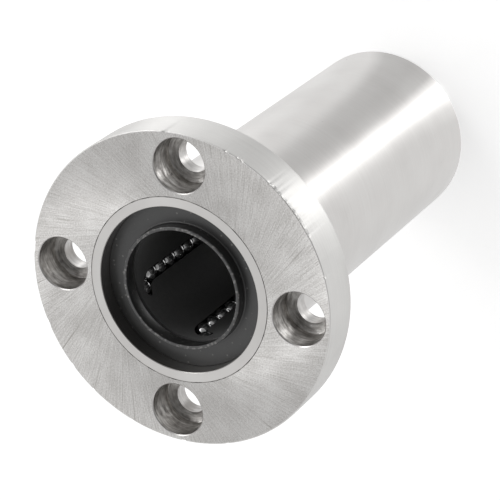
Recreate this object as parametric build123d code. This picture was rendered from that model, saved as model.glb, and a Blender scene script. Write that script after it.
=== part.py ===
from build123d import *
import math
import os

# A flanged linear ball bushing for a 20 mm shaft, the long kind with two ball retainers in one cylinder.
# The shaft slides through the bore on ten endless trains of balls, five round each retainer.
#
# Frame, in millimetres: the origin is the centre of the flange's back face, the face that is bolted to a
# machine. Z is the bore axis. The flange's counterbored front is at the top, and the cylinder's tail
# points down, so that the part stands on its tail end. X runs through a screw hole.

# Shaft and balls
shaft_d = 20.0
ball_d = 3.175
shaft_play = 0.0125
land_play = 0.05
track_play = 0.05
return_play = 0.2
ball_gap = 0.02
turn_gap = 0.08

# Ball circuits: how many, where the first row of loaded balls lies, and how far the train has rolled
circuit_count = 5
first_row_angle = 34.4
rest_phase = 0.83

# Outer cylinder
cylinder_length = 80.0
cylinder_wall = 1.7
bore_step = 0.05
land_width = 3.6
land_lead = 0.3
mouth_edge = 0.1
seam_edge = 0.12
tail_edge = 0.45
relief_width = 1.2
relief_depth = 0.2

# Flange
flange_thickness = 8.0
flange_width = 11.0
flange_front_edge = 0.15
flange_back_edge = 0.9
screw_count = 4
screw_hole_d = 5.5
screw_hole_edge = 0.4
head_pocket_d = 9.2
head_pocket_depth = 5.1
pocket_edge = 0.15

# Retainers, the spacer between them, and the side rings that hold them in
retainer_shaft_gap = 0.4
retainer_play = 0.1
retainer_end_wall = 0.8
channel_play = 0.15
end_play = 0.05
spacer_min = 0.8
side_ring_depth = 4.4
side_ring_thickness = 0.8
side_ring_grip = 0.4
side_ring_width = 3.0
side_ring_gap = 3.0
groove_play = 0.1

# Seals
seal_thickness = 0.8
seal_rim_edge = 0.3
lip_wall = 0.6
lip_height = 1.95
lip_land = 0.8
lip_flare = 0.3
lip_round = 0.22

# Room left between pieces that are pressed or laid together
seat_gap = 0.01

# Radii that follow from the shaft and the balls
shaft_r = shaft_d / 2
ball_r = ball_d / 2
track_r = ball_r + track_play
load_r = shaft_r + shaft_play + ball_r
land_r = load_r + ball_r + land_play
turn_r = (ball_d + turn_gap) / math.sqrt(2)
return_r = math.hypot(load_r, 2 * turn_r)
bore_r = math.ceil((return_r + ball_r + return_play) / bore_step) * bore_step
cylinder_r = bore_r + cylinder_wall
flange_r = cylinder_r + flange_width
bolt_circle_r = cylinder_r + flange_width / 2

# Heights of the two ends
front_z = flange_thickness
tail_z = front_z - cylinder_length

# Balls fill as much of each retainer's length as there is room for, and the spacer takes up the rest
ball_pitch = ball_d + ball_gap
turn_length = turn_r + track_r + retainer_end_wall
retainer_room = cylinder_length - 2 * side_ring_depth - 4 * end_play
row_room = (retainer_room - spacer_min) / 2 - 2 * turn_length
balls_per_row = int(row_room / ball_pitch)
row_length = balls_per_row * ball_pitch
retainer_length = row_length + 2 * turn_length
spacer_thickness = retainer_room - 2 * retainer_length
middle_z = (front_z + tail_z) / 2
retainer_offset = (spacer_thickness + retainer_length) / 2 + end_play
retainer_r = bore_r - retainer_play
retainer_bore_r = shaft_r + retainer_shaft_gap

# How far each train has rolled at rest. One ball pitch of travel brings every ball to its neighbour's
# place, and a quarter turn at the ends of the loop goes with it.
rest_travel = rest_phase * ball_pitch
turn_degrees_per_mm = 90 / ball_pitch


def row_angles():
    """The directions of the loaded rows round the bore."""
    return [first_row_angle + k * 360 / circuit_count for k in range(circuit_count)]


def turned(shape, angle):
    """The shape turned about the bore axis."""
    return Rot(0, 0, angle) * shape


def ring_section(points):
    """A turned piece: the closed outline, given as radius and height, spun round the bore axis."""
    outline = make_face(Polyline(*points, close=True))
    return revolve(Plane.XZ * outline, Axis.Z)


def outer_cylinder():
    """The hardened tube, with a raceway land for each loaded row and a groove near each end.

    A shallow relief behind the flange clears the edge of the machine's bore.
    """
    outline = [
        (bore_r, front_z - mouth_edge),
        (bore_r + mouth_edge, front_z),
        (cylinder_r - seam_edge, front_z),
        (cylinder_r, front_z - seam_edge),
        (cylinder_r, 0),
        (cylinder_r - relief_depth, 0),
        (cylinder_r - relief_depth, -relief_width),
        (cylinder_r, -relief_width),
        (cylinder_r, tail_z + tail_edge),
        (cylinder_r - tail_edge, tail_z),
        (bore_r + mouth_edge, tail_z),
        (bore_r, tail_z + mouth_edge),
    ]
    tube = ring_section(outline)
    for side in (1, -1):
        tube -= side_ring_groove(side)
        for angle in row_angles():
            tube += Pos(0, 0, middle_z + side * retainer_offset) * turned(raceway_land(), angle)
    return tube


def strip_section(inner_r, outer_r, width):
    """The part of a round wall, between two radii, that lies within a width across the X axis."""
    wall = Circle(outer_r) - Circle(inner_r)
    return wall & (Pos(outer_r, 0) * Rectangle(outer_r, width))


def raceway_land():
    """A raised strip inside the tube that the loaded balls roll on, ramped at both ends."""
    section = strip_section(land_r, bore_r + cylinder_wall / 4, land_width)
    land = extrude(section, row_length / 2, both=True)
    ends = land.faces().filter_by(Axis.Z)
    inner_edges = [end.edges().filter_by(GeomType.CIRCLE).sort_by(SortBy.RADIUS)[0] for end in ends]
    return chamfer(inner_edges, land_lead)


def side_ring_height(side):
    """The middle of a side ring's thickness, at the front or at the tail."""
    end_z = middle_z + side * cylinder_length / 2
    return end_z - side * (side_ring_depth - side_ring_thickness / 2)


def side_ring_groove(side):
    """The cut that a side ring springs into."""
    height = side_ring_thickness + 2 * seat_gap
    groove = Cylinder(bore_r + side_ring_grip + groove_play, height)
    return Pos(0, 0, side_ring_height(side)) * groove


def side_ring(side):
    """A split spring ring in the cylinder's groove, which keeps the retainers in."""
    outer_r = bore_r + side_ring_grip
    section = Circle(outer_r) - Circle(outer_r - side_ring_width)
    section -= Pos(outer_r - side_ring_width / 2, 0) * Rectangle(2 * side_ring_width, side_ring_gap)
    ring = extrude(section, side_ring_thickness / 2, both=True)
    return Pos(0, 0, side_ring_height(side)) * turned(ring, first_row_angle)


def flange():
    """The separate flange, pressed on the cylinder, with a counterbored hole for each screw."""
    bore = cylinder_r + seat_gap
    outline = [
        (bore, 0),
        (flange_r - flange_back_edge, 0),
        (flange_r, flange_back_edge),
        (flange_r, front_z - flange_front_edge),
        (flange_r - flange_front_edge, front_z),
        (bore + seam_edge, front_z),
        (bore, front_z - seam_edge),
    ]
    disc = ring_section(outline)
    for k in range(screw_count):
        disc -= turned(Pos(bolt_circle_r, 0, front_z) * screw_hole(), k * 360 / screw_count)
    return disc


def screw_hole():
    """The room for one cap screw, from the front face down: pocket for its head, hole for its shank.

    The edges at both faces are broken, and each break runs on past its face so that the cut is clean.
    """
    pocket_r = head_pocket_d / 2
    hole_r = screw_hole_d / 2
    outline = [
        (0, pocket_edge),
        (pocket_r + 2 * pocket_edge, pocket_edge),
        (pocket_r, -pocket_edge),
        (pocket_r, -head_pocket_depth),
        (hole_r, -head_pocket_depth),
        (hole_r, screw_hole_edge - flange_thickness),
        (hole_r + 2 * screw_hole_edge, -flange_thickness - screw_hole_edge),
        (0, -flange_thickness - screw_hole_edge),
    ]
    return ring_section(outline)


def carrier_section(inner_r):
    """The round section that slides into the cylinder, with a channel for each raceway land."""
    section = Circle(retainer_r) - Circle(inner_r)
    channel = strip_section(land_r - retainer_play, bore_r, land_width + 2 * channel_play)
    for angle in row_angles():
        section -= turned(channel, angle)
    return section


def track_cut():
    """The endless track of one train of balls: a groove with a round floor, open to the outside.

    Its loaded side lies so deep that the balls show through a slot in the retainer's bore.
    """
    track_plane = Plane(origin=(load_r, turn_r, 0), x_dir=(0, 0, 1), z_dir=(1, 0, 0))
    outer = SlotCenterToCenter(row_length, 2 * (turn_r + track_r))
    island = SlotCenterToCenter(row_length, 2 * (turn_r - track_r))
    walls = extrude(track_plane * (outer - island), bore_r - load_r + ball_r)
    centre_line = (track_plane * SlotCenterToCenter(row_length, 2 * turn_r)).face().outer_wire()
    start = centre_line @ 0
    floor = sweep(Plane(origin=start, z_dir=centre_line % 0) * Circle(track_r), path=centre_line)
    return walls + floor


def retainer(side):
    """The moulded cage that keeps the balls in their tracks."""
    cage = extrude(carrier_section(retainer_bore_r), retainer_length / 2, both=True)
    track = track_cut()
    for angle in row_angles():
        cage -= turned(track, angle)
    return Pos(0, 0, middle_z + side * retainer_offset) * cage


def spacer():
    """The thin ring between the two retainers, notched to pass over the raceway lands."""
    section = carrier_section(bore_r + side_ring_grip - side_ring_width)
    return Pos(0, 0, middle_z) * extrude(section, spacer_thickness / 2, both=True)


def seal(side):
    """The rubber wiper in the mouth: a flat disc with a raised lip that rubs on the shaft."""
    back = 0
    face = seal_thickness
    crest = face + lip_height
    rim_r = bore_r - seat_gap
    foot_r = shaft_r + lip_wall
    outline = [
        (shaft_r + lip_flare, back),
        (rim_r, back),
        (rim_r, face - seal_rim_edge),
        (rim_r - seal_rim_edge, face),
        (foot_r + lip_round, face),
        (foot_r, face + lip_round),
        (foot_r, crest - lip_round),
        (foot_r - lip_round, crest),
        (shaft_r, crest),
        (shaft_r, crest - lip_land),
    ]
    back_z = side_ring_height(side) + side * (side_ring_thickness / 2 + seat_gap)
    disc = ring_section(outline)
    if side < 0:
        disc = mirror(disc, about=Plane.XY)
    return Pos(0, 0, back_z) * disc


def ball_group(places):
    """Separate balls of one stretch of a train, at the given centres."""
    return Compound([Pos(*place) * Sphere(ball_r) for place in places])


def loaded_row():
    """The balls between land and shaft, which roll towards the front as the travel grows."""
    start = -row_length / 2 + rest_travel
    return [(load_r, 0, start + k * ball_pitch) for k in range(balls_per_row)]


def return_row():
    """The balls on their way back through the retainer."""
    start = row_length / 2 - rest_travel
    return [(load_r, 2 * turn_r, start - k * ball_pitch) for k in range(balls_per_row)]


def turn_row(end):
    """The two balls that go round one end of the loop, a quarter turn apart."""
    places = []
    for quarter in range(2):
        angle = math.radians(turn_degrees_per_mm * rest_travel + 90 * quarter)
        across = end * turn_r * math.cos(angle)
        along = end * (row_length / 2 + turn_r * math.sin(angle))
        places.append((load_r, turn_r - across, along))
    return places


def ball_nodes():
    """Every stretch of every train, by name."""
    stretches = {
        "loaded": loaded_row(),
        "return": return_row(),
        "front_turn": turn_row(1),
        "tail_turn": turn_row(-1),
    }
    nodes = {}
    for end_name, side in (("front", 1), ("rear", -1)):
        height = middle_z + side * retainer_offset
        for number, angle in enumerate(row_angles(), start=1):
            for stretch, places in stretches.items():
                group = Pos(0, 0, height) * turned(ball_group(places), angle)
                nodes[f"{end_name}_circuit_{number}_{stretch}_balls"] = group
    return nodes


def all_nodes():
    """Each piece of the bushing, by the name of its file."""
    nodes = {
        "flange": flange(),
        "outer_cylinder": outer_cylinder(),
        "front_seal": seal(1),
        "rear_seal": seal(-1),
        "front_side_ring": side_ring(1),
        "rear_side_ring": side_ring(-1),
        "front_retainer": retainer(1),
        "rear_retainer": retainer(-1),
        "spacer_ring": spacer(),
    }
    nodes.update(ball_nodes())
    return nodes


os.makedirs("parts", exist_ok=True)
for node_name, shape in all_nodes().items():
    export_step(shape, f"parts/{node_name}.step")

print(f"cylinder {2 * cylinder_r:.2f} x {cylinder_length:.1f} mm, flange {2 * flange_r:.2f} mm")
print(f"{balls_per_row} balls in a row, pitch {ball_pitch:.3f} mm, retainer {retainer_length:.3f} mm")
print(f"travel at rest {rest_travel:.3f} mm of {ball_pitch:.3f} mm")
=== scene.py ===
# %% [markdown]
# # A flanged linear bearing
#
# The part is a bought-in machine element: a hardened steel cylinder with endless trains of balls inside, a
# round steel flange with four counterbored screw holes, and a rubber wiper in each mouth. The solids come
# from the CAD model. This lesson gives them their look: smooth surfaces where a triangle mesh would show
# its facets, and one material for each real finish.

# %% Load the parts
import math

import bmesh
import bpy
import numpy as np
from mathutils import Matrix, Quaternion, Vector


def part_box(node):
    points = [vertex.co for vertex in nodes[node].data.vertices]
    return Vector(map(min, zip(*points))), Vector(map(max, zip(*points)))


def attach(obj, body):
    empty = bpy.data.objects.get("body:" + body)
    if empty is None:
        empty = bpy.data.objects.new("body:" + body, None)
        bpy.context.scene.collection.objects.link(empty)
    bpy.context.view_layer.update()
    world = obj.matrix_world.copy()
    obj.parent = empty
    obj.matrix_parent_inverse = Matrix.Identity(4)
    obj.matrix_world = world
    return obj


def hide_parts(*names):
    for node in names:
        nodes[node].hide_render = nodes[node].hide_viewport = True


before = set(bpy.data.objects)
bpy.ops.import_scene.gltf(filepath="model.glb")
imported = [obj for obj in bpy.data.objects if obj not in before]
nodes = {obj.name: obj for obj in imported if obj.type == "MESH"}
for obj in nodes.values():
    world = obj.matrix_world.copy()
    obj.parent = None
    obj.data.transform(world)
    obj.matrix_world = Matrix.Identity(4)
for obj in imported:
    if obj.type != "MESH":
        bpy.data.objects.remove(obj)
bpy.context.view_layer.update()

mm = 0.001

# %% [markdown]
# ## Sizes
#
# The frame already knows how big each piece is, so the main sizes are read from it and only the small ones,
# such as edge breaks, are written down. Everything is in metres, in the same frame as the solids: the bore
# axis is Z, the flange's back face is at height 0 and the part stands on its tail.

# %% Read the main sizes
flange_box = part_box("flange")
tube_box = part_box("outer_cylinder")
face_z = flange_box[1].z
tail_z = tube_box[0].z
flange_r = flange_box[1].x
tube_r = tube_box[1].x
bolt_circle_r = (flange_r + tube_r) / 2
bore_r = 14.3 * mm
middle_z = (face_z + tail_z) / 2
print(f"flange {2 * flange_r / mm:.1f} mm and cylinder {2 * tube_r / mm:.1f} mm across")
print(f"whole part {(face_z - tail_z) / mm:.1f} mm long")

# %% [markdown]
# ## The camera
#
# The photograph looks down on the flange's face with a long lens, and the part lies askew in the picture.
# The camera could be placed by eye, but the photograph has enough circles in it to work the place out: the
# flange, the seam, the mouth and the tail each give an ellipse. The camera aims at a point near the bore
# axis and is then rolled about its own line of sight.

# %% Place the camera
def aimed_camera(place, target, roll, lens):
    """A camera at a place that looks at a target: the upright view, then turned by roll about its axis."""
    data = bpy.data.cameras.new("photo_camera")
    data.lens = lens
    data.sensor_width = 36
    data.clip_start = 0.01
    camera = bpy.data.objects.new("photo_camera", data)
    bpy.context.scene.collection.objects.link(camera)
    upright = (target - place).to_track_quat("-Z", "Y")
    camera.rotation_mode = "QUATERNION"
    camera.rotation_quaternion = upright @ Quaternion((0, 0, 1), math.radians(roll))
    camera.location = place
    bpy.context.scene.camera = camera
    return camera


# Fitted to the four ellipses: places in millimetres, the roll in degrees and the lens in millimetres
eye = Vector((156.693, -159.499, 299.478)) * mm
aim = Vector((-1.393, -1.392, -14.6)) * mm
camera = aimed_camera(eye, aim, -128.092, 165.354)
print(f"camera {(eye - aim).length:.3f} m from its target")

# %% [markdown]
# ## Surfaces from numpy
#
# Every new piece here is a surface with two parameters, such as how far along a profile and how far round
# the axis. All its points are worked out at once as arrays. Neighbours in the grid become quads, grids that
# share an edge are welded, and edges sharper than 30 degrees keep a crisp shade while the rest is smooth.

# %% Grids of points to faces
def grid_faces(rows, columns, close_rows=False, close_columns=False):
    """Quads of a grid: each point joined with its next one along, its next one across and the one between."""
    index = np.arange(rows * columns).reshape(rows, columns)
    if close_rows:
        index = np.vstack([index, index[:1]])
    if close_columns:
        index = np.hstack([index, index[:, :1]])
    corners = [index[:-1, :-1], index[:-1, 1:], index[1:, 1:], index[1:, :-1]]
    return np.stack(corners, axis=-1).reshape(-1, 4)


def piece_from_grids(name, grids, body, smooth_under=30):
    """One welded mesh from grids, each a tuple of points, the two flags that close it and its finish.

    A finish is the number of a material slot, or a list with one number for each row of quads.
    """
    points, faces, finishes, count = [], [], [], 0
    for grid, close_rows, close_columns, finish in grids:
        rows, columns = grid.shape[:2]
        points.append(grid.reshape(-1, 3))
        quads = grid_faces(rows, columns, close_rows, close_columns)
        faces.append(quads + count)
        quad_rows = rows if close_rows else rows - 1
        finishes.append(np.repeat(np.broadcast_to(finish, quad_rows), len(quads) // quad_rows))
        count += rows * columns
    mesh = bpy.data.meshes.new(name)
    mesh.from_pydata(np.vstack(points).tolist(), [], np.vstack(faces).tolist())
    mesh.polygons.foreach_set("material_index", np.concatenate(finishes))
    work = bmesh.new()
    work.from_mesh(mesh)
    bmesh.ops.remove_doubles(work, verts=work.verts, dist=0.001 * mm)
    bmesh.ops.dissolve_degenerate(work, edges=work.edges, dist=0.0001 * mm)
    bmesh.ops.recalc_face_normals(work, faces=work.faces)
    open_edges = sum(1 for edge in work.edges if not edge.is_manifold)
    work.to_mesh(mesh)
    work.free()
    mesh.shade_smooth()
    mesh.set_sharp_from_angle(angle=math.radians(smooth_under))
    piece = bpy.data.objects.new(name, mesh)
    bpy.context.scene.collection.objects.link(piece)
    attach(piece, body)
    print(f"{name}: {len(mesh.polygons)} faces, {open_edges} open edges")
    return piece


print("a grid of 3 by 4 points has", len(grid_faces(3, 4)), "quads")

# %% Profiles and turns
def spun(profile, angles):
    """Each profile point (radius, height) carried round the axis: x = r cos a, y = r sin a, z = height."""
    radius, height = np.array(profile, float).T
    angles = np.asarray(angles, float)
    x = radius[:, None] * np.cos(angles)
    y = radius[:, None] * np.sin(angles)
    z = np.broadcast_to(height[:, None], x.shape)
    return np.stack([x, y, z], axis=-1)


def rounded_corner(start, corner, end, steps=5):
    """A curve that leaves start towards the corner and arrives at end: a quadratic blend of the three."""
    t = np.linspace(0, 1, steps + 1)[:, None]
    start, corner, end = (np.array(p, float) for p in (start, corner, end))
    return [tuple(p) for p in (1 - t) ** 2 * start + 2 * t * (1 - t) * corner + t ** 2 * end]


def turned_grid(grid, angle):
    """Every point of a grid turned about the bore axis."""
    c, s = math.cos(angle), math.sin(angle)
    return grid @ np.array([[c, s, 0], [-s, c, 0], [0, 0, 1]])


columns_per_degree = 3
full_turn = np.radians(np.arange(360 * columns_per_degree) / columns_per_degree)
print(len(full_turn), "columns in a full turn")

# %% [markdown]
# ## The flange
#
# The real flange is a turned steel disc with four counterbored holes, pressed on the end of the cylinder.
# A boolean would cut the holes but leaves long thin triangles that shade badly. Instead the face is laid
# out in sectors. A sector with a hole in it is a grid from the hole's rim out to the sector's border, and
# the sectors between are plain polar grids. The rim, the bore and each pocket are spun profiles.

# %% Sizes of the flange
flange_bore_r = tube_r + 0.01 * mm
edge_strip = 0.05 * mm
front_edge = 0.15 * mm
back_edge = 0.9 * mm
seam_edge = 0.07 * mm
pocket_r = 4.6 * mm
pocket_floor_z = face_z - 5.1 * mm
pocket_edge = 0.15 * mm
floor_edge = 0.15 * mm
hole_r = 2.75 * mm
hole_edge = 0.4 * mm
hole_angles = np.radians([0, 90, 180, 270])
holed_half_angle = math.radians(30)
print(f"bolt circle {2 * bolt_circle_r / mm:.1f} mm, pockets {2 * pocket_r / mm:.1f} mm across")

# %% Flat sectors of the two faces
def sector_border(inner_r, outer_r, side_steps=9):
    """The closed border of a sector: out along a side, round the outer arc, back and round the inner one."""
    half = holed_half_angle
    arc_steps = round(math.degrees(2 * half)) * columns_per_degree
    arc = np.linspace(-half, half, arc_steps + 1)
    side = np.linspace(inner_r, outer_r, side_steps + 1)
    outer_arc, inner_arc = np.full(arc_steps, outer_r), np.full(arc_steps, inner_r)
    first_side, second_side = np.full(side_steps, -half), np.full(side_steps, half)
    radius = np.concatenate([side[:-1], outer_arc, side[:0:-1], inner_arc])
    angle = np.concatenate([first_side, arc[:-1], second_side, arc[:0:-1]])
    return np.stack([radius * np.cos(angle), radius * np.sin(angle)], axis=-1)


def holed_sector(border, rim_r, height):
    """A flat sector with a round hole: straight rays from the hole's rim to the border, in three steps."""
    centre = np.array([bolt_circle_r, 0])
    out = border - centre
    rim = centre + rim_r * out / np.linalg.norm(out, axis=1, keepdims=True)
    t = np.array([0, 0.3, 1])[:, None, None]
    flat = rim + t * (border - rim)
    return np.concatenate([flat, np.full(flat.shape[:2] + (1,), height)], axis=-1)


def plain_sector(inner_r, outer_r, height):
    """A flat sector between two holed ones: radius along the rows, angle along the columns."""
    radius = np.linspace(inner_r, outer_r, 10)
    start, end = holed_half_angle, math.pi / 2 - holed_half_angle
    angles = np.linspace(start, end, round(math.degrees(end - start)) * columns_per_degree + 1)
    return spun([(r, height) for r in radius], angles)


print("points on a holed sector's border:", len(sector_border(tube_r, flange_r)))

# %% Screw pockets
def pocket_wall(border_front, border_back):
    """One counterbored hole: its profile spun round its own axis, at the angles of the two faces' rays."""
    profile = [
        (pocket_r + pocket_edge, face_z),
        (pocket_r, face_z - pocket_edge),
        (pocket_r, pocket_floor_z + floor_edge),
        (pocket_r - 0.27 * floor_edge, pocket_floor_z + 0.27 * floor_edge),
        (pocket_r - floor_edge, pocket_floor_z),
        (hole_r, pocket_floor_z),
        (hole_r, hole_edge),
        (hole_r + hole_edge, 0),
    ]
    centre = np.array([bolt_circle_r, 0])
    t = np.linspace(0, 1, len(profile))[:, None]
    front = np.arctan2(*(border_front - centre).T[::-1])
    back = np.arctan2(*(border_back - centre).T[::-1])
    angle = front + t * (np.mod(back - front + np.pi, 2 * np.pi) - np.pi)
    radius, height = np.array(profile).T[:, :, None]
    x = centre[0] + radius * np.cos(angle)
    y = radius * np.sin(angle)
    return np.stack([x, y, np.broadcast_to(height, x.shape)], axis=-1)


print(f"pockets {(face_z - pocket_floor_z) / mm:.1f} mm deep, holes {2 * hole_r / mm:.1f} mm across")

# %% [markdown]
# The flange's front edge has been knocked, and its nicks catch the light. A bump map could not break the
# outline, so the nicks are cut in the mesh: a depth for each angle pushes the corner in and down. Close to
# the face the rim has extra rows for this.

# %% Nicks in the front edge
nick_reach = 0.7 * mm
knocked_side = (303, 324)
knocked_nicks = 40
stray_nicks = 18


def nick_depth(angles):
    """How deep the nicks cut into the front edge, for each angle: the deepest of many narrow bell curves.

    Most nicks lie close together on one side, where the flange was knocked, and a few lie anywhere.
    """
    draw = np.random.default_rng(5)
    count = knocked_nicks + stray_nicks
    knocked, stray = draw.uniform(*knocked_side, knocked_nicks), draw.uniform(0, 360, stray_nicks)
    centres = np.radians(np.concatenate([knocked, stray]))
    widths = np.radians(draw.uniform(0.3, 1.1, count))
    depths = draw.uniform(0.04, 0.38, count) * mm
    away = np.mod(angles[:, None] - centres + np.pi, 2 * np.pi) - np.pi
    return (depths * np.exp(-(away / widths) ** 2)).max(axis=1)


def worn_rim(profile):
    """The rim's profile spun round, with its front corner pushed in and down where there is a nick."""
    grid = spun(profile, full_turn)
    depth = nick_depth(full_turn)
    below_face = face_z - np.array(profile)[:, 1]
    share = np.clip(1 - below_face / nick_reach, 0, 1)
    share[0] = 0
    push = share[:, None] * depth
    grid[..., 0] -= push * np.cos(full_turn)
    grid[..., 1] -= push * np.sin(full_turn)
    grid[..., 2] -= 0.5 * push
    return grid


print(f"deepest nick {nick_depth(full_turn).max() / mm:.2f} mm")

# %% Build the flange
def flange_grids():
    """All the grids of the flange: two faces, the rim, the bore and four pockets."""
    front_r = (flange_bore_r + seam_edge + edge_strip, flange_r - front_edge - edge_strip)
    back_r = (flange_bore_r + edge_strip, flange_r - back_edge - edge_strip)
    corner = (flange_r, face_z)
    rim = [(front_r[1], face_z)]
    rim += rounded_corner((flange_r - front_edge, face_z), corner, (flange_r, face_z - front_edge))
    rim += [(flange_r, face_z - share * nick_reach) for share in (0.3, 0.5, 0.7, 1)]
    rim += [(flange_r, back_edge + edge_strip)]
    rim += rounded_corner((flange_r, back_edge), (flange_r, 0), (flange_r - back_edge, 0), 7)
    rim += [(back_r[1], 0)]
    bore = [(back_r[0], 0), (flange_bore_r, 0), (flange_bore_r, face_z - seam_edge)]
    bore += [(flange_bore_r + seam_edge, face_z), (front_r[0], face_z)]
    grids = [(worn_rim(rim), False, True, 2), (spun(bore, full_turn), False, True, [0, 2, 3, 0])]
    front_border, back_border = sector_border(*front_r), sector_border(*back_r)
    holed_front = holed_sector(front_border, pocket_r + pocket_edge, face_z)
    holed_back = holed_sector(back_border, hole_r + hole_edge, 0)
    pocket = pocket_wall(front_border, back_border)
    for angle in hole_angles:
        grids += [(turned_grid(sector, angle), False, True, 0) for sector in (holed_front, holed_back)]
        grids += [(turned_grid(pocket, angle), False, True, [4, 1, 1, 1, 1, 4, 4])]
        plain = plain_sector(*front_r, face_z), plain_sector(*back_r, 0)
        grids += [(turned_grid(sector, angle), False, False, 0) for sector in plain]
    return grids


flange = piece_from_grids("ground_flange", flange_grids(), "housing")
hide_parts("flange")

# %% [markdown]
# ## The outer cylinder
#
# The cylinder is ground outside and has raceway lands inside, one for each row of loaded balls, and a
# groove near each end for a spring ring. It is one closed grid: the rows run along the outline of the tube
# wall and the columns run round the axis. In the bore, the radius of a column depends on whether the column
# is on a land, so the lands need no separate piece.

# %% Sizes of the outer cylinder
land_r = 13.2375 * mm
land_angles = np.radians(34.4 + 72 * np.arange(5))
land_half_angle = 1.8 * mm / ((land_r + bore_r) / 2)
land_length = 25.56 * mm
land_ramp = 0.3 * mm
retainer_offset = 18.0309 * mm
groove_r = 14.8 * mm
groove_depth = 4.0 * mm
groove_width = 0.82 * mm
relief_r = tube_r - 0.2 * mm
relief_width = 1.2 * mm
tail_edge = 0.45 * mm
mouth_edge = 0.1 * mm
print(f"wall {(tube_r - bore_r) / mm:.1f} mm, {len(land_angles)} lands in each half of the bore")

# %% Rows and columns of the tube's wall
def tube_angles():
    """Columns every degree, and a close pair at each side of each land, where the radius steps."""
    steps = np.concatenate([land_angles - land_half_angle, land_angles + land_half_angle])
    pairs = np.concatenate([steps - 1e-4, steps + 1e-4])
    return np.unique(np.mod(np.concatenate([np.radians(np.arange(360)), pairs]), 2 * np.pi))


def bore_stations():
    """(height, radius off the lands, radius on the lands) down the bore, from the front to the tail."""
    def groove(side):
        centre = middle_z + side * ((face_z - tail_z) / 2 - groove_depth)
        top, low = centre + groove_width / 2, centre - groove_width / 2
        wall = [(top, bore_r), (top, groove_r), (low, groove_r), (low, bore_r)]
        return [(z, r, r) for z, r in wall]

    def land(side):
        centre = middle_z + side * retainer_offset
        top, low = centre + land_length / 2, centre - land_length / 2
        ends = [(top, bore_r, land_r + land_ramp), (top - land_ramp, bore_r, land_r)]
        ends += [(low + land_ramp, bore_r, land_r), (low, bore_r, land_r + land_ramp)]
        return [(top, bore_r, bore_r)] + ends + [(low, bore_r, bore_r)]

    return groove(1) + land(1) + land(-1) + groove(-1)


print(len(tube_angles()), "columns and", len(bore_stations()), "rows in the bore")

# %% Build the outer cylinder
def tube_grid():
    """The tube's closed wall: down the outside, in over the tail, up the bore and out over the front.

    With it comes the finish of each row of quads: 0 outside, 1 in the bore and at its mouth, where the steel
    is painted darker as shade, 2 at the seam, painted nearly black as its shade and oil, and 3 on the front
    end, painted a little darker as shade.
    """
    outside = [(face_z, tube_r - seam_edge), (face_z - seam_edge, tube_r), (0, tube_r), (0, relief_r)]
    outside += [(-relief_width, relief_r), (-relief_width, tube_r), (tail_z + tail_edge + edge_strip, tube_r)]
    corner = rounded_corner((tube_r, tail_z + tail_edge), (tube_r, tail_z), (tube_r - tail_edge, tail_z))
    outside += [(z, r) for r, z in corner] + [(tail_z, tube_r - tail_edge - edge_strip)]
    mouth_r = bore_r + mouth_edge
    outside += [(tail_z, mouth_r + edge_strip), (tail_z, mouth_r), (tail_z + mouth_edge, bore_r)]
    front = [(face_z - mouth_edge, bore_r), (face_z, mouth_r), (face_z, mouth_r + edge_strip)]
    stations = bore_stations()[::-1]
    rows = [(z, r, r) for z, r in outside] + stations + [(z, r, r) for z, r in front]
    finish = [2] + [0] * (len(outside) - 2) + [1] * (len(stations) + 2) + [3] * (len(front) - 1)
    height, off_land, on_land = np.array(rows).T
    angles = tube_angles()
    away = np.abs(np.mod(angles[:, None] - land_angles + np.pi, 2 * np.pi) - np.pi).min(axis=1)
    radius = np.where(away < land_half_angle, on_land[:, None], off_land[:, None])
    x, y = radius * np.cos(angles), radius * np.sin(angles)
    return np.stack([x, y, np.broadcast_to(height[:, None], x.shape)], axis=-1), finish


tube_points, tube_finish = tube_grid()
tube_grids = [(tube_points, True, True, tube_finish)]
tube = piece_from_grids("ground_cylinder", tube_grids, "housing")
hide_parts("outer_cylinder")

# %% [markdown]
# ## The seals
#
# Each mouth holds a moulded rubber wiper: a flat disc with a raised lip that rubs on the shaft. Moulded
# rubber has no sharp edge, so the profile is rounded everywhere and then spun round the axis. The sizes of
# the section are in plain millimetres, and one small function places them.

# %% Build the seals
seal_faces = {"front": 1, "rear": -1}
seal_rim, lip_outside, lip_inside = 14.29, 10.6, 10.0
disc_top, lip_crest, land_foot = 0.8, 2.75, 1.95
rim_round, foot_round, crest_round, mouth_round = 0.06, 0.26, 0.25, 0.1


def seal_profile(back_z, side):
    """The rubber's section as a closed line of (radius, height), rounded at the rim, lip's foot and crest."""
    def at(radius, height):
        return radius * mm, back_z + side * height * mm

    def rounded(start, corner, end, steps=5):
        return rounded_corner(at(*start), at(*corner), at(*end), steps)

    line = [at(lip_inside + 0.3, 0), at(seal_rim - 0.05, 0)]
    line += [at(seal_rim, 0.05), at(seal_rim, disc_top - 0.08)]
    corner = (seal_rim, disc_top)
    line += rounded((seal_rim, disc_top - rim_round), corner, (seal_rim - rim_round, disc_top), 3)
    line += [at(seal_rim - 0.14, disc_top), at(lip_outside + 0.3, disc_top)]
    corner = (lip_outside, disc_top)
    line += rounded((lip_outside + foot_round, disc_top), corner, (lip_outside, disc_top + foot_round))
    line += [at(lip_outside, disc_top + 0.3), at(lip_outside, lip_crest - 0.3)]
    corner = (lip_outside, lip_crest)
    line += rounded((lip_outside, lip_crest - crest_round), corner, (lip_outside - crest_round, lip_crest))
    corner = (lip_inside, lip_crest)
    line += rounded((lip_inside + mouth_round, lip_crest), corner, (lip_inside, lip_crest - mouth_round), 3)
    return line + [at(lip_inside, land_foot), at(lip_inside + 0.28, 0.05)]


for end, side in seal_faces.items():
    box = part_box(f"{end}_seal")
    back = box[0].z if side > 0 else box[1].z
    grid = spun(seal_profile(back, side), np.radians(np.arange(0, 360, 0.75)))
    seal = piece_from_grids(f"{end}_wiper", [(grid, True, True, 0)], "housing", 50)
    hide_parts(f"{end}_seal")

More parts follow.
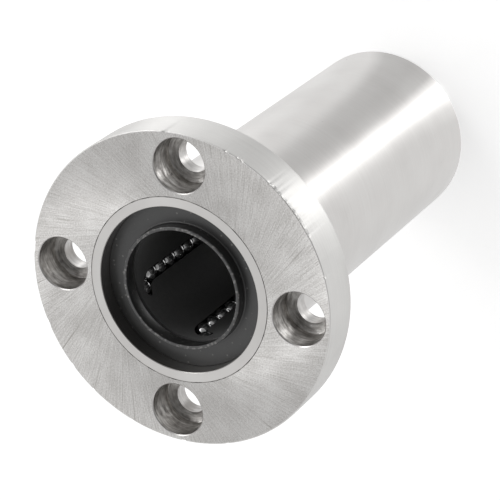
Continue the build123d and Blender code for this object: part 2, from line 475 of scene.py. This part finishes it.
# %% [markdown]
# ## The balls
#
# The two bright rows of dots in the bore are balls. Two hundred of them run in ten endless trains. Each
# train is four groups that move in different ways, so each group is one piece on its own body. A ball is a
# grid of latitude and longitude, closed at its poles, and a group repeats that grid at each ball's centre.

# %% Build the balls
ball_r = 3.175 / 2 * mm
ball_pitch = 3.195 * mm
balls_per_row = 8
load_r = 11.6 * mm
turn_r = 2.3017 * mm
# At rest each train has rolled this far from the start of its range
rest_travel = 0.83 * ball_pitch


def ball_grid(centre, rings=14, segments=22):
    """A sphere: latitude from pole to pole along the rows, longitude along the columns."""
    latitude = np.linspace(-np.pi / 2, np.pi / 2, rings + 1)[:, None]
    longitude = np.linspace(0, 2 * np.pi, segments, endpoint=False)
    z = np.broadcast_to(np.sin(latitude), (rings + 1, segments))
    unit = np.stack([np.cos(latitude) * np.cos(longitude), np.cos(latitude) * np.sin(longitude), z], axis=-1)
    return centre + ball_r * unit


def train_places():
    """Ball centres of each stretch of one train, for a train at angle 0 and height 0."""
    half_row = balls_per_row * ball_pitch / 2
    along = np.arange(balls_per_row) * ball_pitch
    across = np.ones(balls_per_row)
    places = {
        "loaded": np.stack([across * load_r, across * 0, along + rest_travel - half_row], axis=-1),
        "return": np.stack([across * load_r, across * 2 * turn_r, half_row - rest_travel - along], axis=-1),
    }
    angle = np.pi / 2 * (rest_travel / ball_pitch + np.arange(2))
    for name, end in (("front_turn", 1), ("tail_turn", -1)):
        y = turn_r - end * turn_r * np.cos(angle)
        z = end * (half_row + turn_r * np.sin(angle))
        places[name] = np.stack([np.full(2, load_r), y, z], axis=-1)
    return places


ball_pieces = []
for end, side in (("front", 1), ("rear", -1)):
    lift = np.array([0, 0, middle_z + side * retainer_offset])
    for number, angle in enumerate(land_angles, start=1):
        for stretch, places in train_places().items():
            node = f"{end}_circuit_{number}_{stretch}_balls"
            centres = turned_grid(places, angle) + lift
            grids = [(ball_grid(centre), False, True, 0) for centre in centres]
            balls = piece_from_grids(f"polished_{node}", grids, node.removesuffix("_balls"), 60)
            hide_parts(node)
            ball_pieces.append(balls)

# %% [markdown]
# ## A helper for materials
#
# A material is a small network of nodes. One function adds a node, fills or links its inputs, sets its
# properties and hands back one of its outputs, so that each material below reads as a list of what it does.
# Colours are written as the hex values that a colour picker gives, and one function turns them into the
# linear values that light needs.

# %% Colours and nodes
def linear(hex_colour):
    """An sRGB hex colour as linear RGBA: each channel divided by 12.92 near black, else raised to the 2.4."""
    channels = [int(hex_colour[i:i + 2], 16) / 255 for i in (0, 2, 4)]
    return tuple(c / 12.92 if c <= 0.04045 else ((c + 0.055) / 1.055) ** 2.4 for c in channels) + (1.0,)


def add(tree, kind, inputs=None, output=0, stops=(), **settings):
    """Adds a shader node to a tree and gives back one of its outputs, chosen by name or number.

    Settings are the node's own properties. Inputs are values or sockets, by name or number. Stops are the
    (position, colour) pairs of a colour ramp.
    """
    node = tree.nodes.new("ShaderNode" + kind)
    for name, value in settings.items():
        setattr(node, name, value)
    for key, value in (inputs or {}).items():
        if isinstance(value, bpy.types.NodeSocket):
            tree.links.new(value, node.inputs[key])
        else:
            node.inputs[key].default_value = value
    for number, (position, colour) in enumerate(stops):
        elements = node.color_ramp.elements
        element = elements[number] if number < len(elements) else elements.new(position)
        element.position = position
        element.color = colour
    return node.outputs[output] if node.outputs else None


def new_material(name):
    """A material with an empty node tree, and the Object coordinates that its patterns are placed by."""
    material = bpy.data.materials.new(name)
    material.use_nodes = True
    tree = material.node_tree
    tree.nodes.clear()
    return material, tree, add(tree, "TexCoord", None, "Object")


def shades(*stops):
    """Ramp stops written as (position, hex colour)."""
    return [(position, linear(colour)) for position, colour in stops]


def wear(piece, *materials):
    """Gives a piece its materials, in the order of its slots.

    The slots are not emptied first, because that would turn every face back to the first slot.
    """
    slots = piece.data.materials
    for number, material in enumerate(materials):
        if number < len(slots):
            slots[number] = material
        else:
            slots.append(material)


print("light grey steel in linear light:", [round(c, 3) for c in linear("CBCBCB")[:3]])

# %% [markdown]
# ## The flange's ground face
#
# The flange is plain carbon steel, and its face was ground on a turntable under a cup wheel. The wheel leaves
# fine lines that lean over from the radius, more near the seam and less near the rim. They do two things:
# single scratches show as faint straight lines, and the whole face throws light sideways, so that a soft bow
# tie of light lies across it. Straight lines that all lean the same way just miss the axis: each one touches
# a small circle round it. The direction of the line through a point is all that tells it from its neighbours,
# so the noise is read at that direction and stretched along the radius. The bow tie is anisotropy, with its
# tangent set across the grain. A picture of scratches could not be used here, and would blur up close.

# %% Face-ground steel
lean_on_bolt_circle = math.radians(28)
lean_per_metre = math.radians(4.3) / mm
touched_r = bolt_circle_r * math.sin(lean_on_bolt_circle)


def face_ground_steel():
    """Carbon steel, face-ground: a scratch leans by asin(touched radius / radius), the grain falls evenly."""
    material, tree, place = new_material("face_ground_carbon_steel")
    flat = add(tree, "VectorMath", {0: place, 1: (1, 1, 0)}, operation="MULTIPLY")
    radius = add(tree, "VectorMath", {0: flat}, "Value", operation="LENGTH")
    outward = add(tree, "VectorMath", {0: flat}, operation="NORMALIZE")
    beyond = add(tree, "Math", {0: radius, 1: bolt_circle_r}, operation="SUBTRACT")

    fall = {0: beyond, 1: -lean_per_metre, 2: lean_on_bolt_circle}
    lean = add(tree, "Math", fall, operation="MULTIPLY_ADD")
    along = add(tree, "VectorRotate", {"Vector": outward, "Angle": lean}, rotation_type="Z_AXIS")
    across = add(tree, "VectorMath", {0: (0, 0, 1), 1: along}, operation="CROSS_PRODUCT")

    lean = add(tree, "Math", {0: touched_r, 1: radius}, operation="DIVIDE")
    lean = add(tree, "Math", {0: lean}, operation="ARCSINE")
    scratch = add(tree, "VectorRotate", {"Vector": outward, "Angle": lean}, rotation_type="Z_AXIS")

    # Real scratches are 0.05 mm apart; they are drawn about 0.17 mm apart, so that they show
    scratch = add(tree, "VectorMath", {0: scratch, "Scale": bolt_circle_r / (0.17 * mm)}, operation="SCALE")
    length = add(tree, "Math", {0: radius, 1: 5 * mm}, operation="DIVIDE")
    length = add(tree, "CombineXYZ", {"Z": length})
    scratch_place = add(tree, "VectorMath", {0: scratch, 1: length}, operation="ADD")
    fine = {"Scale": 1.0, "Detail": 4.0, "Roughness": 0.7}
    scratches = add(tree, "TexNoise", {"Vector": scratch_place, **fine})
    clouds = add(tree, "TexNoise", {"Vector": place, "Scale": 1 / (5 * mm), "Detail": 3.0})
    grain = add(tree, "TexNoise", {"Vector": place, "Scale": 1 / (0.25 * mm), "Detail": 2.0})
    # A few grains of the wheel cut deeper: the same noise, lifted off the first, above a high threshold
    lifted = {0: scratch_place, 1: (0.8, 0.8, 0.5), 2: (0, 0, 7)}
    deep_place = add(tree, "VectorMath", lifted, operation="MULTIPLY_ADD")
    deep = add(tree, "TexNoise", {"Vector": deep_place, "Scale": 1.0, "Detail": 1.0})
    deep = add(tree, "MapRange", {"Value": deep, "From Min": 0.68, "From Max": 0.8, "To Max": 0.2})

    tone = add(tree, "Math", {0: clouds, 1: 0.2}, operation="MULTIPLY")
    tone = add(tree, "Math", {0: scratches, 1: 0.45, 2: tone}, operation="MULTIPLY_ADD")
    tone = add(tree, "Math", {0: grain, 1: 0.35, 2: tone}, operation="MULTIPLY_ADD")
    tone = add(tree, "Math", {0: tone, 1: deep}, operation="SUBTRACT")
    stops = shades((0.2, "989490"), (0.4, "B4B2AF"), (0.5, "CAC8C6"), (0.6, "DDDCDA"))
    colour = add(tree, "ValToRGB", {"Fac": tone}, "Color", stops)
    limits = {"From Min": 0.3, "From Max": 0.7, "To Min": 0.3, "To Max": 0.42}
    rough = add(tree, "MapRange", {"Value": scratches, **limits})
    normal = add(tree, "Bump", {"Strength": 0.08, "Distance": 0.02 * mm, "Height": tone})
    steel = {"Base Color": colour, "Metallic": 1.0, "Roughness": rough, "Normal": normal}
    surface = add(tree, "BsdfPrincipled", {**steel, "Anisotropic": 0.85, "Tangent": across})
    add(tree, "OutputMaterial", {"Surface": surface})
    return material


# %% [markdown]
# ## The screw pockets
#
# The pockets were cut with a counterbore, and nobody ground them afterwards. The tool leaves rings round each
# hole's own axis, on the wall and on the floor, with smears where it chattered. The drilled holes and the
# broken edges are the same, only cleaner. The distance to the nearest hole's axis comes from folding the four
# holes onto one quarter, with the absolute value of X and Y. It stays the same down a wall, and the height
# stays the same across a floor, so the sum of the two counts the rings on both.

# %% Drilled and counterbored steel
def bored_steel(name, stops, bump):
    """Carbon steel cut by a rotating tool: noise over (distance + height) makes rings, a finer one smears."""
    material, tree, place = new_material(name)
    flat = add(tree, "VectorMath", {0: place, 1: (1, 1, 0)}, operation="MULTIPLY")
    folded = add(tree, "VectorMath", {0: flat}, operation="ABSOLUTE")
    on_x = add(tree, "VectorMath", {0: folded, 1: (bolt_circle_r, 0, 0)}, "Value", operation="DISTANCE")
    on_y = add(tree, "VectorMath", {0: folded, 1: (0, bolt_circle_r, 0)}, "Value", operation="DISTANCE")
    distance = add(tree, "Math", {0: on_x, 1: on_y}, operation="MINIMUM")
    height = add(tree, "SeparateXYZ", {0: place}, "Z")

    # The tool feeds 0.1 mm a turn; the rings are drawn 0.5 mm apart, so that they show
    ring = add(tree, "Math", {0: distance, 1: height}, operation="ADD")
    ring = add(tree, "CombineXYZ", {"Z": add(tree, "Math", {0: ring, 1: 0.5 * mm}, operation="DIVIDE")})
    slow = add(tree, "VectorMath", {0: flat, "Scale": 1 / (2.6 * mm)}, operation="SCALE")
    ring_place = add(tree, "VectorMath", {0: slow, 1: ring}, operation="ADD")
    rings = add(tree, "TexNoise", {"Vector": ring_place, "Scale": 1.0, "Detail": 4.0, "Roughness": 0.65})
    smears = add(tree, "TexNoise", {"Vector": place, "Scale": 1 / (1.2 * mm), "Detail": 3.0})

    tone = add(tree, "Math", {0: smears, 1: 0.3}, operation="MULTIPLY")
    tone = add(tree, "Math", {0: rings, 1: 0.7, 2: tone}, operation="MULTIPLY_ADD")
    colour = add(tree, "ValToRGB", {"Fac": tone}, "Color", stops)
    limits = {"From Min": 0.35, "From Max": 0.65, "To Min": 0.45, "To Max": 0.28}
    rough = add(tree, "MapRange", {"Value": tone, **limits})
    normal = add(tree, "Bump", {"Strength": bump, "Distance": 0.2 * mm, "Height": tone})
    steel = {"Base Color": colour, "Metallic": 1.0, "Roughness": rough, "Normal": normal}
    add(tree, "OutputMaterial", {"Surface": add(tree, "BsdfPrincipled", steel)})
    return material


pocket_shades = shades((0.38, "8E8B88"), (0.48, "B4B1AE"), (0.56, "CCCAC7"), (0.66, "E6E4E2"))
hole_shades = shades((0.35, "B4B2B0"), (0.65, "D2D0CE"))
pocket_steel = bored_steel("counterbored_carbon_steel", pocket_shades, 0.5)
hole_steel = bored_steel("drilled_carbon_steel", hole_shades, 0.1)
print("bored steels:", pocket_steel.name, hole_steel.name)

# %% [markdown]
# ## The round walls
#
# The cylinder is bearing steel, hardened and then ground between centres, and the flange's rim is turned.
# Both tools leave fine lines round the axis, so light spreads along the axis and stays crisp round it: the
# bright band on the cylinder runs its full length with clear sides. That is anisotropy again, with the
# tangent at right angles to the lines. The cylinder's bore is given darker colours, which are painted shade
# of the deep bore, and its front end was ground on its own and is painted a little darker, as shade. The four
# finishes differ only in their numbers, so one function makes them all.

# %% Steel with lines round the axis
line_length = 14 * mm
mark_spacing = 5 * mm


def round_wall_steel(name, spacing, stops, rough_range, anisotropy):
    """Steel worked on a lathe or grinder: noise squeezed along Z makes rings round the axis."""
    material, tree, place = new_material(name)
    scale = (1 / line_length, 1 / line_length, 1 / spacing)
    squeezed = add(tree, "VectorMath", {0: place, 1: scale}, operation="MULTIPLY")
    lines = add(tree, "TexNoise", {"Vector": squeezed, "Scale": 1.0, "Detail": 4.0, "Roughness": 0.6})
    clouds = add(tree, "TexNoise", {"Vector": place, "Scale": 1 / (9 * mm), "Detail": 3.0})
    # Handling leaves a small dull mark every few millimetres
    marks = add(tree, "TexVoronoi", {"Vector": place, "Scale": 1 / mark_spacing}, "Distance")
    marks = add(tree, "MapRange", {"Value": marks, "From Min": 0.05, "From Max": 0.02, "To Max": 0.35})
    tone = add(tree, "Math", {0: clouds, 1: 0.55}, operation="MULTIPLY")
    tone = add(tree, "Math", {0: lines, 1: 0.45, 2: tone}, operation="MULTIPLY_ADD")
    tone = add(tree, "Math", {0: tone, 1: marks}, operation="SUBTRACT")
    colour = add(tree, "ValToRGB", {"Fac": tone}, "Color", stops)
    limits = {"From Min": 0.3, "From Max": 0.7, "To Min": rough_range[0], "To Max": rough_range[1]}
    rough = add(tree, "MapRange", {"Value": lines, **limits})

    # Lines run round the axis on the wall and on the ends alike, and light spreads at right angles to them
    flat = add(tree, "VectorMath", {0: place, 1: (1, 1, 0)}, operation="MULTIPLY")
    round_axis = add(tree, "VectorMath", {0: (0, 0, 1), 1: flat}, operation="CROSS_PRODUCT")
    facing = add(tree, "NewGeometry", None, "Normal")
    across = add(tree, "VectorMath", {0: facing, 1: round_axis}, operation="CROSS_PRODUCT")
    normal = add(tree, "Bump", {"Strength": 0.06, "Distance": 0.01 * mm, "Height": lines})
    steel = {"Base Color": colour, "Metallic": 1.0, "Roughness": rough, "Normal": normal}
    surface = add(tree, "BsdfPrincipled", {**steel, "Anisotropic": anisotropy, "Tangent": across})
    add(tree, "OutputMaterial", {"Surface": surface})
    return material


print(f"lines {line_length / mm:.0f} mm long, a handling mark about every {mark_spacing / mm:.0f} mm")

# %% Round finishes and the seam
def seam_shade_and_oil():
    """Old oil and grinding dust in the seam round the cylinder, with its shade painted in: nearly black,
    and grey where it is thin.
    """
    material, tree, place = new_material("painted_shade_and_oil_in_the_seam")
    shade_and_grime = add(tree, "TexNoise", {"Vector": place, "Scale": 1 / (1.5 * mm), "Detail": 4.0})
    colour = add(tree, "ValToRGB", {"Fac": shade_and_grime}, "Color", shades((0.36, "2A2826"), (0.56, "A29F9C")))
    surface = add(tree, "BsdfPrincipled", {"Base Color": colour, "Roughness": 0.7, "IOR": 1.47})
    add(tree, "OutputMaterial", {"Surface": surface})
    return material


# Turning and grinding lines are 0.02 to 0.1 mm apart; they are drawn about 0.3 mm apart, so that they show
cylinder_shades = shades((0.05, "8E8C8A"), (0.3, "CBC9C7"), (0.5, "D3D1CF"), (0.7, "D9D8D6"))
# The front end takes the cylinder's steel with darker colours: painted shade on the end face.
end_painted_shades = shades((0.05, "8A8886"), (0.3, "C0BEBC"), (0.5, "C9C7C5"), (0.7, "D0CFCD"))
rim_shades = shades((0.05, "94928F"), (0.3, "CAC8C6"), (0.5, "D7D6D4"), (0.7, "DFDEDC"))
# The bore's colours are darker than the outside's: painted shade of the deep bore, on its mouth's chamfer
# too.
bore_painted_shades = shades((0.3, "868482"), (0.5, "969492"), (0.7, "A2A09E"))
ground_steel = round_wall_steel("ground_bearing_steel", 0.3 * mm, cylinder_shades, (0.28, 0.34), 0.4)
end_painted_steel = round_wall_steel("end_ground_steel_painted_darker", 0.3 * mm, end_painted_shades, (0.28, 0.34), 0.4)
bore_painted_shade_steel = round_wall_steel("steel_with_painted_bore_shade", 0.3 * mm, bore_painted_shades, (0.3, 0.4), 0.3)
turned_steel = round_wall_steel("turned_carbon_steel", 0.35 * mm, rim_shades, (0.4, 0.5), 0.1)
seam = seam_shade_and_oil()
wear(flange, face_ground_steel(), pocket_steel, turned_steel, seam, hole_steel)
wear(tube, ground_steel, bore_painted_shade_steel, seam, end_painted_steel)
print("flange and cylinder:", [m.name for m in (*flange.data.materials, *tube.data.materials)])

# %% [markdown]
# ## Balls, spring rings, rubber and resin
#
# The balls are lapped and polished, so they mirror the mouth of the bore as small bright dots. The spring
# rings are cut from spring steel strip and keep its dark tempered skin. The wipers are nitrile rubber
# filled with carbon black. The mould leaves them matt, and the film of preserving oil on every new bearing
# gives them a soft shine, with a little pale dust caught in it. The retainers are moulded from dark grey
# acetal resin with a faint sheen.

# %% Polished and tempered steel
def polished_ball_steel():
    """Lapped and polished bearing steel: nearly a mirror, with the faintest cloud in its roughness."""
    material, tree, place = new_material("lapped_ball_steel")
    clouds = add(tree, "TexNoise", {"Vector": place, "Scale": 1 / (1.5 * mm), "Detail": 3.0})
    colour = add(tree, "ValToRGB", {"Fac": clouds}, "Color", shades((0.3, "D8D8D8"), (0.7, "E2E2E2")))
    limits = {"From Min": 0.3, "From Max": 0.7, "To Min": 0.04, "To Max": 0.07}
    rough = add(tree, "MapRange", {"Value": clouds, **limits})
    surface = add(tree, "BsdfPrincipled", {"Base Color": colour, "Metallic": 1.0, "Roughness": rough})
    add(tree, "OutputMaterial", {"Surface": surface})
    return material


def tempered_spring_steel():
    """Rolled and tempered strip: dark grey metal with long rolling lines."""
    material, tree, place = new_material("tempered_spring_steel")
    scale = (1 / (4 * mm), 1 / (0.3 * mm), 1 / (0.3 * mm))
    squeezed = add(tree, "VectorMath", {0: place, 1: scale}, operation="MULTIPLY")
    lines = add(tree, "TexNoise", {"Vector": squeezed, "Scale": 1.0, "Detail": 3.0})
    colour = add(tree, "ValToRGB", {"Fac": lines}, "Color", shades((0.3, "7E7C7A"), (0.7, "989694")))
    normal = add(tree, "Bump", {"Strength": 0.1, "Distance": 0.02 * mm, "Height": lines})
    steel = {"Base Color": colour, "Metallic": 1.0, "Roughness": 0.38, "Normal": normal}
    add(tree, "OutputMaterial", {"Surface": add(tree, "BsdfPrincipled", steel)})
    return material


# %% Rubber and resin
def nitrile_rubber():
    """Carbon-filled nitrile rubber, moulded: dark grey under an oil film, with a grain and specks of dust,
    and pale specks crowded on the lip's crest, which paint a lighter line along it.
    """
    material, tree, place = new_material("moulded_nitrile_rubber")
    grain = add(tree, "TexNoise", {"Vector": place, "Scale": 1 / (0.35 * mm), "Detail": 3.0})
    clouds = add(tree, "TexNoise", {"Vector": place, "Scale": 1 / (3 * mm), "Detail": 3.0})
    base = add(tree, "ValToRGB", {"Fac": clouds}, "Color", shades((0.3, "202020"), (0.7, "272727")))
    # Dust lies in specks of about 0.15 mm, one in every few square millimetres. On the lip's crest pale
    # specks crowd much more thickly and paint a lighter line along it.
    dust = add(tree, "TexVoronoi", {"Vector": place, "Scale": 1 / (1.2 * mm)}, "Distance")
    limits = {"From Min": 0.18, "From Max": 0.08, "To Max": 0.5}
    speck = add(tree, "MapRange", {"Value": dust, **limits})
    height = add(tree, "SeparateXYZ", {0: place}, "Z")
    height = add(tree, "Math", {0: height, 1: middle_z}, operation="SUBTRACT")
    height = add(tree, "Math", {0: height}, operation="ABSOLUTE")
    crest = (face_z - tail_z) / 2 - 0.85 * mm
    limits = {"From Min": crest - 0.3 * mm, "From Max": crest - 0.05 * mm, "To Max": 0.6}
    on_crest = add(tree, "MapRange", {"Value": height, **limits})
    crest_specks = add(tree, "TexVoronoi", {"Vector": place, "Scale": 1 / (0.6 * mm)}, "Distance")
    crest_specks = add(tree, "MapRange", {"Value": crest_specks, "From Min": 0.45, "From Max": 0.2})
    crest_specks = add(tree, "Math", {0: crest_specks, 1: on_crest}, operation="MULTIPLY")
    speck = add(tree, "Math", {0: speck, 1: crest_specks}, operation="MAXIMUM")
    mixing = {"Factor": speck, "A": base, "B": linear("8C8A87")}
    colour = add(tree, "Mix", mixing, "Result", data_type="RGBA")
    normal = add(tree, "Bump", {"Strength": 0.25, "Distance": 0.02 * mm, "Height": grain})
    rubber = {"Base Color": colour, "Roughness": 0.5, "IOR": 1.52, "Normal": normal}
    film = {"Coat Weight": 1.0, "Coat Roughness": 0.35, "Coat IOR": 1.47}
    add(tree, "OutputMaterial", {"Surface": add(tree, "BsdfPrincipled", {**rubber, **film})})
    return material


def dark_acetal():
    """Moulded dark grey acetal, with the soft unevenness of a mould's spark-eroded wall."""
    material, tree, place = new_material("moulded_dark_acetal")
    grain = add(tree, "TexNoise", {"Vector": place, "Scale": 1 / (0.5 * mm), "Detail": 3.0})
    colour = add(tree, "ValToRGB", {"Fac": grain}, "Color", shades((0.3, "5E5E5E"), (0.7, "686868")))
    limits = {"From Min": 0.3, "From Max": 0.7, "To Min": 0.4, "To Max": 0.5}
    rough = add(tree, "MapRange", {"Value": grain, **limits})
    normal = add(tree, "Bump", {"Strength": 0.1, "Distance": 0.02 * mm, "Height": grain})
    resin = {"Base Color": colour, "Roughness": rough, "IOR": 1.48, "Normal": normal}
    add(tree, "OutputMaterial", {"Surface": add(tree, "BsdfPrincipled", resin)})
    return material


# %% Dress the pieces
ball_finish = polished_ball_steel()
rubber = nitrile_rubber()
resin = dark_acetal()
spring = tempered_spring_steel()
finish_of = {"flange": turned_steel, "outer_cylinder": ground_steel, "spacer_ring": resin}
for end in seal_faces:
    wear(bpy.data.objects[f"{end}_wiper"], rubber)
    finish_of |= {f"{end}_retainer": resin, f"{end}_side_ring": spring, f"{end}_seal": rubber}
for piece in ball_pieces:
    wear(piece, ball_finish)
for name, node in nodes.items():
    wear(node, finish_of.get(name, ball_finish))
print(len(bpy.data.materials), "materials on", len(nodes), "nodes")

# %% [markdown]
# ## Table, world and lamps
#
# The photograph was taken on a white ground. The part stands on its tail end here, so the camera looks down
# on a table. Steel shows nothing but its surroundings: the cylinder and the rim mirror the table, and the
# flange's face mirrors the sky above. So the table works as a light table. To the camera it is white and
# keeps the part's soft shadow, and in reflections it has a brighter strip and a dimmer side, as a lit
# plate has. The world is a white room with one dim side, where the photographer stands: that side is what
# the deep pockets and the rubber's lip mirror, and it keeps them dark. Three softboxes add the rest: the
# overhead one makes the bow tie on the face brighter, the side one fills, and the low one lights the broken
# edges at the bottom of each pocket.

# %% Light table
# Brightness of the table in reflections against the direction in degrees, and two round patches on it
table_levels = [(0, 0.78), (12, 1.08), (30, 1.03), (45, 1.1), (55, 1.05), (72, 0.98), (90, 1.05), (150, 1.0),
                (195, 0.93), (225, 0.94), (250, 1.0), (290, 1.03), (300, 1.25), (305, 1.7), (308, 2.5),
                (315, 2.5), (320, 1.5), (326, 0.85), (340, 0.74), (359.9, 0.78)]
strip_level = max(level for degrees, level in table_levels)
table_patches = [((50 * mm, 57 * mm, 0), 1.1), ((54 * mm, -64 * mm, 0), 0.95)]
patch_r = 32 * mm


def light_table_finish():
    """Opal glass over lamps: plain white to the eye, and in reflections brighter on one side than another."""
    material, tree, place = new_material("opal_glass_light_table")
    x = add(tree, "SeparateXYZ", {0: place}, "X")
    y = add(tree, "SeparateXYZ", {0: place}, "Y")
    turn = add(tree, "Math", {0: y, 1: x}, operation="ARCTAN2")
    share = add(tree, "Math", {0: turn, 1: 1 / (2 * math.pi), 2: 1.0}, operation="MULTIPLY_ADD")
    share = add(tree, "Math", {0: share}, operation="FRACT")
    # A ramp holds values up to 1, so the levels go in as shares of the brightest one
    stops = [(degrees / 360, (level / strip_level,) * 3 + (1,)) for degrees, level in table_levels]
    glow = add(tree, "ValToRGB", {"Fac": share}, "Color", stops)
    glow = add(tree, "Math", {0: glow, 1: strip_level}, operation="MULTIPLY")
    flat = add(tree, "VectorMath", {0: place, 1: (1, 1, 0)}, operation="MULTIPLY")
    for centre, level in table_patches:
        away = add(tree, "VectorMath", {0: flat, 1: centre}, "Value", operation="DISTANCE")
        limits = {"From Min": patch_r, "From Max": 0.0, "To Min": 0.0, "To Max": level}
        patch = add(tree, "MapRange", {"Value": away, **limits}, interpolation_type="SMOOTHSTEP")
        glow = add(tree, "Math", {0: glow, 1: patch}, operation="ADD")
    mirrored = add(tree, "Emission", {"Strength": glow})
    matt = add(tree, "BsdfDiffuse", {"Color": linear("E8E8E8")})
    lit = add(tree, "AddShader", {0: matt, 1: add(tree, "Emission", {"Strength": 0.5})})
    to_eye = add(tree, "MixShader", {0: add(tree, "LightPath", None, "Is Camera Ray"), 1: matt, 2: lit})
    glossy = add(tree, "LightPath", None, "Is Glossy Ray")
    through = add(tree, "LightPath", None, "Is Transmission Ray")
    reflected = add(tree, "Math", {0: glossy, 1: through}, operation="MAXIMUM")
    surface = add(tree, "MixShader", {0: reflected, 1: to_eye, 2: mirrored})
    add(tree, "OutputMaterial", {"Surface": surface})
    return material


print("brightest strip", strip_level, "times white")

# %% Table top
def table_top(size):
    """A flat square under the part, a hair below its tail, so that the two do not share a plane."""
    half = size / 2
    height = tail_z - 0.05 * mm
    mesh = bpy.data.meshes.new("light_table")
    corners = [(-half, -half, height), (half, -half, height), (half, half, height), (-half, half, height)]
    mesh.from_pydata(corners, [], [(0, 1, 2, 3)])
    table = bpy.data.objects.new("light_table", mesh)
    bpy.context.scene.collection.objects.link(table)
    wear(table, light_table_finish())
    return table


table = table_top(6.0)
print("table at", round(table.data.vertices[0].co.z / mm, 2), "mm")

# %% World
def direction_to(azimuth, elevation):
    """The unit vector towards a compass direction and a height above the horizon, both in degrees."""
    a, e = math.radians(azimuth), math.radians(elevation)
    return Vector((math.cos(a) * math.cos(e), math.sin(a) * math.cos(e), math.sin(e)))


room_level = 0.95
dim_level = 0.25
dim_side = direction_to(-45, 48)


def studio_world():
    """A white room: full white to the camera, and a little less with one dim side to everything else."""
    world = bpy.data.worlds.new("white_room")
    bpy.context.scene.world = world
    world.use_nodes = True
    tree = world.node_tree
    tree.nodes.clear()
    direction = add(tree, "TexCoord", None, "Generated")
    towards = add(tree, "VectorMath", {0: direction, 1: dim_side}, "Value", operation="DOT_PRODUCT")
    limits = {"From Min": 0.2, "From Max": 0.95, "To Min": room_level, "To Max": dim_level}
    lit = add(tree, "MapRange", {"Value": towards, **limits}, interpolation_type="SMOOTHSTEP")
    camera_ray = add(tree, "LightPath", None, "Is Camera Ray")
    through = add(tree, "LightPath", None, "Is Transmission Ray")
    clear = add(tree, "Math", {0: camera_ray, 1: through}, operation="MAXIMUM")
    strength = add(tree, "Mix", {"Factor": clear, "A": lit, "B": 1.0}, "Result")
    background = add(tree, "Background", {"Color": (1, 1, 1, 1), "Strength": strength})
    add(tree, "OutputWorld", {"Surface": background})
    return world


studio_world()
print("room", room_level, "with a dim side", dim_level, "towards", tuple(round(c, 2) for c in dim_side))

# %% Lamps
def softbox(name, azimuth, elevation, distance, size, power):
    """A square area lamp that faces the part, placed by compass direction, elevation and distance."""
    data = bpy.data.lights.new(name, "AREA")
    data.size = size
    data.energy = power
    lamp = bpy.data.objects.new(name, data)
    lamp.location = distance * direction_to(azimuth, elevation)
    lamp.rotation_euler = (-lamp.location).to_track_quat("-Z", "Y").to_euler()
    bpy.context.scene.collection.objects.link(lamp)
    return lamp


softbox("overhead_softbox", 90.5, 62.5, 1.0, 0.08, 0.3)
softbox("side_softbox", 60, 40, 1.2, 0.8, 1.5)
softbox("low_softbox", 43, 18, 1.0, 0.4, 1.8)
bpy.context.scene.view_settings.view_transform = "Standard"
